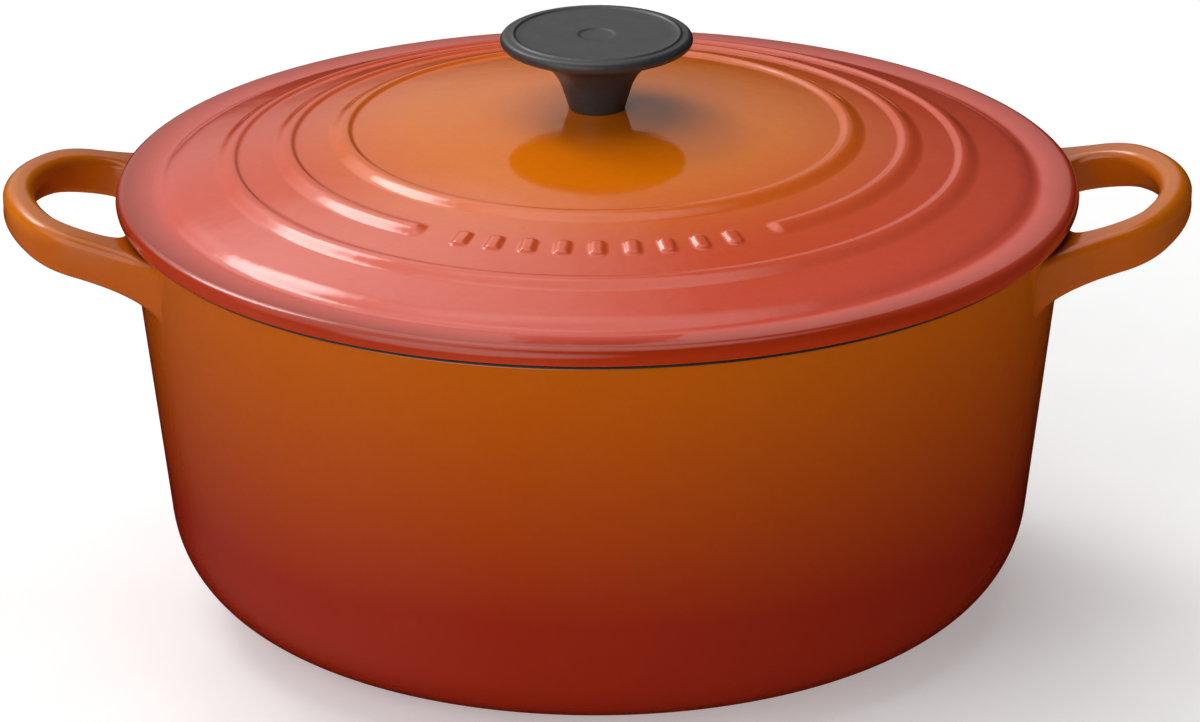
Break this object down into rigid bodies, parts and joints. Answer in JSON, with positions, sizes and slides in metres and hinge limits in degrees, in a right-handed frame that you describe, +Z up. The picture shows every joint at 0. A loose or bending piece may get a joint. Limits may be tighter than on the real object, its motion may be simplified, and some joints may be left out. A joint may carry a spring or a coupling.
{
  "type": "dutch oven",
  "caption": "Round enamelled cast iron dutch oven with loop handles and a domed, ringed lid that lifts off by a black mushroom knob.",
  "frame": {"origin": "centre of the base, in the plane the pot stands on", "axes": "+Z up along the pot's axis; the two handles lie along +X and -X; the side with the lid's row of pads faces -Y"},
  "size_m": [0.3536, 0.285, 0.1759],
  "materials": {
    "pot_enamel": "gloss",
    "lid_enamel": "gloss",
    "knob_phenolic": "satin",
    "bush_brass": "satin",
    "screw_steel": "satin",
    "washer_steel": "satin"
  },
  "bodies": {
    "pot": {"pot": "pot_enamel"},
    "lid": {"lid": "lid_enamel", "knob": "knob_phenolic", "knob_bush": "bush_brass"},
    "washer": {"screw_washer": "washer_steel"},
    "screw": {"knob_screw": "screw_steel"}
  },
  "joints": [
    {"name": "lid_lift", "type": "slide", "parent": "pot", "child": "lid", "axis": [0, 0, 1], "range_m": [0, 0.2]},
    {"name": "screw_withdraw", "type": "slide", "parent": "lid", "child": "washer", "axis": [0, 0, -1], "range_m": [0, 0.011]},
    {"name": "screw_turn", "type": "hinge", "parent": "washer", "child": "screw", "pos_m": [0, 0, 0.1416], "axis": [0, 0, -1], "range_deg": [0, 3960]}
  ],
  "couplings": [
    {"joint": "screw_turn", "follows": "screw_withdraw", "rad_per_m": 6283.2}
  ]
}
